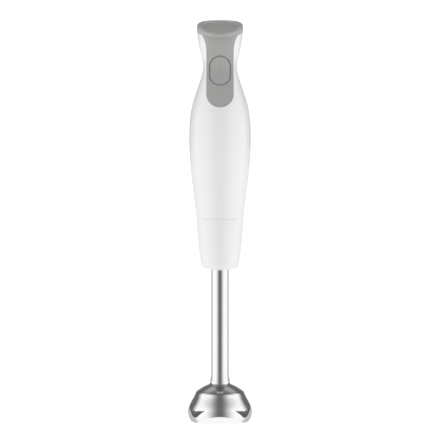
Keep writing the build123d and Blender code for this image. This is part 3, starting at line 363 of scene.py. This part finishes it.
def white_moulding(finish):
    """Glossy white plastic with faint flow marks and the parting line between the housings."""
    material, tree = new_finish("white_moulding")
    where, _x, y, _z = tree.place()
    flow = tree.noise(where, scale=14.0, detail=4.0)
    ripple = tree.noise(where, scale=260.0, detail=2.0)
    tone = tree.shades(flow, finish.white, darkest=0.985, lightest=1.01)
    line = abs(y).below(finish.parting)
    tone = tree.mix(line * PARTING_STRENGTH, tone, shade(finish.white, PARTING_SHADE))
    normal = tree.bump(ripple, strength=0.05, distance=0.0001)
    gloss = flow.swing(finish.white_gloss, span=0.08)
    tree.surface(tone, gloss, normal=normal, ior=1.49, coat_weight=0.35, coat_roughness=0.12)
    return material


def grey_moulding(finish, name, colour, roughness, grain_strength):
    """Satin grey plastic with a fine moulded grain."""
    material, tree = new_finish(name)
    where, *_ = tree.place()
    grain = {"Vector": where, "Scale": 1.0 / finish.grain}
    cells = tree.node("ShaderNodeTexVoronoi", values=grain, output="Distance")
    cloud = tree.noise(where, scale=35.0, detail=3.0)
    tone = tree.shades(cloud, colour, darkest=0.96, lightest=1.04)
    normal = tree.bump(cells, grain_strength, distance=0.00006)
    tree.surface(tone, cloud.swing(roughness, span=0.1), normal=normal, ior=1.48)
    return material


def soft_rubber(name, colour, roughness=0.7):
    """Matt rubber with a dusty bloom."""
    material, tree = new_finish(name)
    where, *_ = tree.place()
    bloom = tree.noise(where, scale=120.0, detail=4.0)
    grit = tree.noise(where, scale=2400.0, detail=2.0)
    tone = tree.shades(bloom, colour, darkest=0.85, lightest=1.2)
    normal = tree.bump(grit, strength=0.3, distance=0.00005)
    tree.surface(tone, bloom.swing(roughness, span=0.2), normal=normal)
    return material


def polished_steel(finish, name, polish, around):
    """Mirror steel with a duller inside and fine polishing lines, around the axis or along it."""
    material, tree = new_finish(name)
    where, x, y, _z = tree.place()
    facing_x, facing_y, _facing_z = tree.parts(tree.node("ShaderNodeTexCoord", output="Normal"))
    inside = (x * facing_x + y * facing_y).below(0.0)
    fine = 1.0 / finish.line_pitch
    if around:
        spread = (fine * BELL_LINE_RUN, fine * BELL_LINE_RUN, fine)
    else:
        spread = (fine, fine, fine * TUBE_LINE_RUN)
    lines = tree.noise(tree.stretched(where, spread), scale=1.0, detail=2.0)
    haze = tree.noise(where, scale=45.0, detail=4.0)
    tone = tree.shades(haze, finish.steel, darkest=0.97, lightest=1.02)
    tone = tree.mix(inside, tone, finish.inside)
    roughness = haze.swing(lines.swing(polish, span=0.05), span=0.05) + inside * INSIDE_DULLNESS
    normal = tree.bump(lines, strength=0.04, distance=0.00004)
    tree.surface(tone, roughness, metallic=1.0, normal=normal)
    return material


def ground_steel(name, colour, roughness, pitch=0.0004):
    """Steel with straight grinding lines."""
    material, tree = new_finish(name)
    where, *_ = tree.place()
    fine = 1.0 / pitch
    lines = tree.noise(tree.stretched(where, (fine * GRINDING_RUN, fine, fine)), scale=1.0, detail=3.0)
    tone = tree.shades(lines, colour, darkest=0.86, lightest=1.06)
    normal = tree.bump(lines, strength=0.12, distance=0.00005)
    tree.surface(tone, lines.swing(roughness, span=0.14), metallic=1.0, normal=normal)
    return material


def turned_metal(name, colour, roughness):
    """Machined metal with turning rings and a cloudy tone."""
    material, tree = new_finish(name)
    where, _x, _y, z = tree.place()
    cloud = tree.noise(where, scale=160.0, detail=4.0)
    tone = tree.shades(cloud, colour, darkest=0.84, lightest=1.1)
    normal = tree.bump(z.waves(RING_RATE), strength=0.1, distance=0.00004)
    tree.surface(tone, cloud.swing(roughness, span=0.2), metallic=1.0, normal=normal)
    return material


def plain_moulding(name, colour, roughness=0.45):
    """Technical plastic with a cloudy tone and a fine grain."""
    material, tree = new_finish(name)
    where, *_ = tree.place()
    cloud = tree.noise(where, scale=90.0, detail=4.0)
    grain = tree.noise(where, scale=1800.0, detail=2.0)
    tone = tree.shades(cloud, colour, darkest=0.85, lightest=1.15)
    normal = tree.bump(grain, strength=0.15, distance=0.00005)
    tree.surface(tone, cloud.swing(roughness, span=0.15), normal=normal)
    return material


def wound_copper(name, colour):
    """Enamelled wire laid in close turns."""
    material, tree = new_finish(name)
    _where, x, y, z = tree.place()
    turns = ((x * x + y * y).root() + z).waves(RING_RATE)
    tone = tree.shades(turns, colour, darkest=0.55, lightest=1.25)
    normal = tree.bump(turns, strength=0.5, distance=0.0001)
    tree.surface(tone, roughness=0.32, metallic=0.8, normal=normal)
    return material


def laminated_steel(name, colour):
    """Stacked sheets under varnish."""
    material, tree = new_finish(name)
    _where, _x, _y, z = tree.place()
    sheets = z.waves(FULL_TURN / SHEET_PITCH)
    tone = tree.shades(sheets, colour, darkest=0.7, lightest=1.2)
    normal = tree.bump(sheets, strength=0.3, distance=0.00005)
    tree.surface(tone, roughness=0.4, metallic=0.7, normal=normal)
    return material


def new_object(name, build, material):
    """New object with a smooth mesh that a function fills."""
    shape = bmesh.new()
    build(shape)
    mesh = bpy.data.meshes.new(name)
    shape.to_mesh(mesh)
    shape.free()
    mesh.shade_smooth()
    mesh.set_sharp_from_angle(angle=SHARP_EDGE)
    mesh.materials.append(material)
    thing = bpy.data.objects.new(name, mesh)
    bpy.context.collection.objects.link(thing)
    return thing


def add_piece(name, build, material, body):
    """New piece of the object, riding on a body."""
    piece = new_object(name, build, material)
    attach(piece, body)
    return piece


def add_skin(shape, rows):
    """Faces between each closed row of points and the next."""
    for row, following in zip(rows, rows[1:]):
        for j in range(len(row)):
            above = (j + 1) % len(row)
            shape.faces.new((row[j], following[j], following[above], row[above]))


class STICK_BLENDER_OT_finish_body(Operator):
    """Finish the white shells, the grey panel, the button and its seal"""

    bl_idname = "stick_blender.finish_body"
    bl_label = "Finish Motor Body"

    def execute(self, context):
        finish = context.scene.stick_blender_housing
        white = white_moulding(finish)
        give(white, "front_housing", "rear_housing", "screw_plug", "cord_gland")
        give(white, "foot_collar", "foot_socket")
        satin = finish.grey_roughness
        smooth = satin - BUTTON_POLISH
        give(grey_moulding(finish, "grip_grey", finish.grey, satin, grain_strength=0.25), "grip_panel")
        give(grey_moulding(finish, "cap_grey", finish.cap, satin, grain_strength=0.25), "top_cap")
        give(grey_moulding(finish, "button_grey", finish.grey, smooth, grain_strength=0.1), "start_button")
        give(soft_rubber("button_seal_rubber", finish.seal), "button_seal")
        return {"FINISHED"}


class STICK_BLENDER_OT_finish_foot(Operator):
    """Finish the polished tube and bell, the blade and the bearings of the foot"""

    bl_idname = "stick_blender.finish_foot"
    bl_label = "Finish Foot"

    def execute(self, context):
        finish = context.scene.stick_blender_steel
        give(polished_steel(finish, "tube_steel", finish.polish, around=False), "shaft_tube")
        give(polished_steel(finish, "bell_steel", finish.bell_polish, around=True), "bell")
        give(ground_steel("blade_steel", finish.steel, finish.ground), "blade", "blade_nut")
        give(turned_metal("shaft_steel", (0.55, 0.55, 0.57), 0.3), "blade_shaft", "shaft_clip")
        give(turned_metal("bush_bronze", (0.50, 0.33, 0.15), 0.42), "upper_bush", "lower_bush")
        give(soft_rubber("blade_seal_rubber", (0.03, 0.03, 0.03)), "blade_seal")
        give(plain_moulding("natural_nylon", (0.68, 0.65, 0.56)), "drive_cup", "thrust_washer")
        return {"FINISHED"}


class STICK_BLENDER_OT_finish_motor(Operator):
    """Finish the motor, its supports and the drive dog"""

    bl_idname = "stick_blender.finish_motor"
    bl_label = "Finish Motor"

    def execute(self, context):
        rubber = soft_rubber("motor_rubber", (0.028, 0.028, 0.028))
        give(rubber, "socket_seal", "lower_damper", "upper_damper")
        give(plain_moulding("black_moulding", (0.035, 0.035, 0.038)), "brush_plate")
        give(plain_moulding("fan_nylon", (0.62, 0.60, 0.53)), "cooling_fan", "drive_dog")
        give(turned_metal("zinc_plate", (0.60, 0.61, 0.63), 0.36), "motor_can", "motor_base")
        give(turned_metal("bearing_bronze", (0.48, 0.32, 0.15), 0.4), "lower_bearing", "upper_bearing")
        give(plain_moulding("ferrite", (0.05, 0.05, 0.055), 0.6), "motor_magnets")
        give(plain_moulding("carbon", (0.03, 0.03, 0.03), 0.55), "carbon_brushes")
        give(turned_metal("spring_wire", (0.5, 0.5, 0.52), 0.3), "brush_springs", "button_spring")
        give(turned_metal("rotor_steel", (0.56, 0.56, 0.58), 0.28), "rotor_shaft")
        give(laminated_steel("core_sheets", (0.22, 0.23, 0.25)), "armature_core")
        give(wound_copper("winding_copper", (0.45, 0.16, 0.06)), "armature_windings")
        give(turned_metal("commutator_copper", (0.72, 0.36, 0.2), 0.35), "commutator")
        give(soft_rubber("lead_insulation", (0.32, 0.03, 0.025), 0.45), "motor_leads")
        return {"FINISHED"}


class STICK_BLENDER_OT_finish_switchgear(Operator):
    """Finish the switch, the circuit board and the screws"""

    bl_idname = "stick_blender.finish_switchgear"
    bl_label = "Finish Switchgear"

    def execute(self, context):
        give(plain_moulding("carrier_black", (0.04, 0.04, 0.042)), "switch_carrier", "switch_body")
        give(turned_metal("lever_steel", (0.6, 0.6, 0.61), 0.25), "switch_lever")
        give(plain_moulding("board_mask", (0.02, 0.13, 0.05), 0.3), "circuit_board")
        give(plain_moulding("capacitor_case", (0.62, 0.43, 0.06), 0.35), "capacitor")
        give(plain_moulding("diode_epoxy", (0.03, 0.03, 0.032), 0.35), "rectifier_diodes")
        give(turned_metal("screw_zinc", (0.62, 0.62, 0.63), 0.3), "board_screws", "housing_screw")
        return {"FINISHED"}


class STICK_BLENDER_OT_add_button_pips(Operator):
    """Add the row of raised pips that a thumb feels on the button"""

    bl_idname = "stick_blender.add_button_pips"
    bl_label = "Add Button Pips"

    def execute(self, context):
        sizes = context.scene.stick_blender_trim
        low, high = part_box("start_button")
        middle_z = (low.z + high.z) / 2
        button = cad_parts["start_button"]
        half_row = (sizes.pip_count - 1) / 2
        flat = Matrix.Diagonal((1.0, 1.0, PIP_FLATNESS, 1.0))

        def build(shape):
            for index in range(sizes.pip_count):
                height = middle_z + (index - half_row) * sizes.pip_pitch
                start = Vector((0, low.y - PIP_SEARCH, height))
                hit, place, normal, _face = button.ray_cast(start, Vector((0, 1, 0)))
                if not hit:
                    raise RuntimeError("the button has no face under a pip")
                turn = normal.to_track_quat("Z", "Y").to_matrix().to_4x4()
                bmesh.ops.create_uvsphere(
                    shape,
                    u_segments=PIP_SIDES,
                    v_segments=PIP_RINGS,
                    radius=sizes.pip_radius,
                    matrix=Matrix.Translation(place) @ turn @ flat,
                )

        finish = context.scene.stick_blender_housing
        smooth = finish.grey_roughness - PIP_POLISH
        material = grey_moulding(finish, "pip_grey", finish.grey, smooth, grain_strength=0.05)
        add_piece("button_pips", build, material, "button")
        return {"FINISHED"}


class STICK_BLENDER_OT_add_return_spring(Operator):
    """Add the button's return spring"""

    bl_idname = "stick_blender.add_return_spring"
    bl_label = "Add Return Spring"

    def execute(self, context):
        sizes = context.scene.stick_blender_trim
        low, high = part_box("button_spring")
        middle = (low + high) / 2
        wire = sizes.spring_wire
        coil_radius = (high.x - low.x) / 2 - wire
        front, back = low.y + wire, high.y - wire
        steps = sizes.spring_turns * SPRING_STEPS

        def build(shape):
            rows = []
            for i in range(steps + 1):
                share = i / steps
                turn = FULL_TURN * sizes.spring_turns * share
                out = Vector((math.cos(turn), 0.0, math.sin(turn)))
                centre = Vector((middle.x, front + (back - front) * share, middle.z))
                row = []
                for j in range(WIRE_SIDES):
                    roll = FULL_TURN * j / WIRE_SIDES
                    reach = out * (coil_radius + wire * math.cos(roll))
                    row.append(shape.verts.new(centre + reach + Vector((0.0, wire * math.sin(roll), 0.0))))
                rows.append(row)
            add_skin(shape, rows)
            shape.faces.new(rows[0])
            shape.faces.new(reversed(rows[-1]))
            bmesh.ops.recalc_face_normals(shape, faces=shape.faces)

        material = turned_metal("return_spring_wire", (0.5, 0.5, 0.52), 0.3)
        spring = add_piece("return_spring", build, material, "motor_unit")
        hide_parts("button_spring")
        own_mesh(spring)
        return {"FINISHED"}


class STICK_BLENDER_OT_add_weld_bead(Operator):
    """Add the polished weld that flares from the tube to the bell"""

    bl_idname = "stick_blender.add_weld_bead"
    bl_label = "Add Weld Bead"

    def execute(self, context):
        sizes = context.scene.stick_blender_trim
        _tube_low, tube_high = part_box("shaft_tube")
        _bell_low, bell_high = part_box("bell")
        root = tube_high.x - sizes.bead_reach * BEAD_SINK
        profile = [(root, bell_high.z)]
        for step in range(BEAD_RINGS + 1):
            share = step / BEAD_RINGS
            reach = tube_high.x + sizes.bead_reach * (1.0 - share) ** 2
            profile.append((reach, bell_high.z + sizes.bead_height * share))
        profile.append((root, bell_high.z + sizes.bead_height))

        def build(shape):
            rows = []
            for i in range(BEAD_SIDES):
                turn = FULL_TURN * i / BEAD_SIDES
                x, y = math.cos(turn), math.sin(turn)
                rows.append([shape.verts.new((r * x, r * y, z)) for r, z in profile])
            add_skin(shape, rows + rows[:1])

        steel = context.scene.stick_blender_steel
        material = polished_steel(steel, "bead_steel", steel.bell_polish, around=True)
        add_piece("weld_bead", build, material, "foot")
        return {"FINISHED"}


class STICK_BLENDER_OT_set_stage(Operator):
    """Set up the camera, the pale floor and backdrop and the soft studio light"""

    bl_idname = "stick_blender.set_stage"
    bl_label = "Set Stage"

    def execute(self, context):
        setup = context.scene.stick_blender_studio
        self.add_camera(context, setup)
        pale = self.pale_finish(setup)
        floor = self.add_floor(setup, pale)
        backdrop = self.add_backdrop(setup, pale)
        self.light_studio(context, setup)
        context.scene.view_settings.view_transform = "Standard"
        return {"FINISHED"}

    def add_camera(self, context, setup):
        """Level camera in front of the grip panel, at half the object's height."""
        data = bpy.data.cameras.new("front_camera")
        data.sensor_fit = "HORIZONTAL"
        data.sensor_width = SENSOR_WIDTH
        data.lens = setup.lens
        camera = bpy.data.objects.new("front_camera", data)
        camera.location = (0.0, -setup.camera_distance, setup.camera_height)
        camera.rotation_euler = (math.pi / 2, 0.0, 0.0)
        context.collection.objects.link(camera)
        context.scene.camera = camera

    def pale_finish(self, setup):
        """Matt pale paper with a glow of its own."""
        material, tree = new_finish("floor_pale")
        where, *_ = tree.place()
        cloud = tree.noise(where, scale=3.0, detail=2.0)
        tone = tree.shades(cloud, setup.floor_colour, darkest=0.99, lightest=1.01)
        glow = {"emission_color": WHITE_LIGHT, "emission_strength": setup.floor_glow}
        tree.surface(tone, roughness=0.8, ior=1.4, **glow)
        return material

    def add_floor(self, setup, material):
        """Floor that the bell's feet stand on, so it goes with the foot."""
        half = setup.floor_size / 2
        corners = [(-half, -half, 0), (half, -half, 0), (half, half, 0), (-half, half, 0)]

        def build(shape):
            shape.faces.new([shape.verts.new(corner) for corner in corners])

        floor = new_object("floor", build, material)
        floor.visible_glossy = False
        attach(floor, "foot")
        return floor

    def add_backdrop(self, setup, material):
        """Dome behind the object on every side, which neither lights it nor shows in its reflections."""

        def build(shape):
            bmesh.ops.create_uvsphere(
                shape, u_segments=DOME_SIDES, v_segments=DOME_RINGS, radius=setup.floor_size / 2
            )

        backdrop = new_object("backdrop", build, material)
        backdrop.visible_diffuse = False
        backdrop.visible_glossy = False
        backdrop.visible_transmission = False
        backdrop.visible_shadow = False
        return backdrop

    def light_studio(self, context, setup):
        """World with a bright panel at each side, a dark gap at the camera and two high lamps behind."""
        world = bpy.data.worlds.new("studio")
        world.use_nodes = True
        context.scene.world = world
        tree = Finish(world.node_tree)
        x, y, z = tree.parts(tree.node("ShaderNodeTexCoord", output="Generated"))
        level = (x * x + y * y).root() + LEAST_LEVEL
        turn = ((y * -1.0) / level).math("ARCCOSINE") * math.degrees(1.0)
        panel = turn.step(*GAP_TO_PANEL).between(setup.gap, setup.softbox)
        corner = z.step(*SHEEN_TO_CORNER).between(setup.sheen, setup.corner)
        wall = turn.step(*PANEL_TO_CORNER).between(panel, corner)
        sweep = turn.step(*CORNER_TO_SWEEP) * (1.0 - z.step(*SWEEP_TOP))
        wall = sweep.between(wall, setup.backdrop)
        light = z.step(*WALL_TO_CEILING).between(wall, setup.ceiling)
        band = z.step(*LAMP_FOOT) * (1.0 - z.step(*LAMP_TOP))
        lamp = band * abs(x).step(*LAMP_SPLIT) * turn.step(*LAMP_BACK)
        light = lamp.between(light, setup.lamp)
        shader = tree.node("ShaderNodeBackground", values={"Color": WHITE_LIGHT, "Strength": light})
        tree.finish_with("ShaderNodeOutputWorld", shader)


class STICK_BLENDER_PT_looks(Panel):
    """Steps that dress the immersion blender"""

    bl_idname = "STICK_BLENDER_PT_looks"
    bl_label = "Immersion Blender"
    bl_space_type = "VIEW_3D"
    bl_region_type = "UI"
    bl_category = "Immersion Blender"

    def draw(self, context):
        layout = self.layout
        for operator in OPERATORS:
            layout.operator(operator.bl_idname)
        for name in SETTINGS:
            column = layout.column()
            group = getattr(context.scene, name)
            for prop in group.bl_rna.properties:
                if not prop.is_readonly:
                    column.prop(group, prop.identifier)


SETTINGS = {
    "stick_blender_housing": HousingFinish,
    "stick_blender_steel": SteelFinish,
    "stick_blender_trim": TrimSizes,
    "stick_blender_studio": StudioSetup,
}
OPERATORS = (
    STICK_BLENDER_OT_finish_body,
    STICK_BLENDER_OT_finish_foot,
    STICK_BLENDER_OT_finish_motor,
    STICK_BLENDER_OT_finish_switchgear,
    STICK_BLENDER_OT_add_button_pips,
    STICK_BLENDER_OT_add_return_spring,
    STICK_BLENDER_OT_add_weld_bead,
    STICK_BLENDER_OT_set_stage,
)


def register():
    """Registers the settings, the operators and the panel."""
    for name, group in SETTINGS.items():
        bpy.utils.register_class(group)
        setattr(bpy.types.Scene, name, PointerProperty(type=group))
    for operator in OPERATORS:
        bpy.utils.register_class(operator)
    bpy.utils.register_class(STICK_BLENDER_PT_looks)


def unregister():
    """Takes everything out again."""
    bpy.utils.unregister_class(STICK_BLENDER_PT_looks)
    for operator in reversed(OPERATORS):
        bpy.utils.unregister_class(operator)
    for name, group in reversed(SETTINGS.items()):
        delattr(bpy.types.Scene, name)
        bpy.utils.unregister_class(group)


def main():
    """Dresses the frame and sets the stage."""
    register()
    bpy.ops.stick_blender.finish_body()
    bpy.ops.stick_blender.finish_foot()
    bpy.ops.stick_blender.finish_motor()
    bpy.ops.stick_blender.finish_switchgear()
    bpy.ops.stick_blender.add_button_pips()
    bpy.ops.stick_blender.add_return_spring()
    bpy.ops.stick_blender.add_weld_bead()
    bpy.ops.stick_blender.set_stage()


if __name__ == "__main__":
    main()
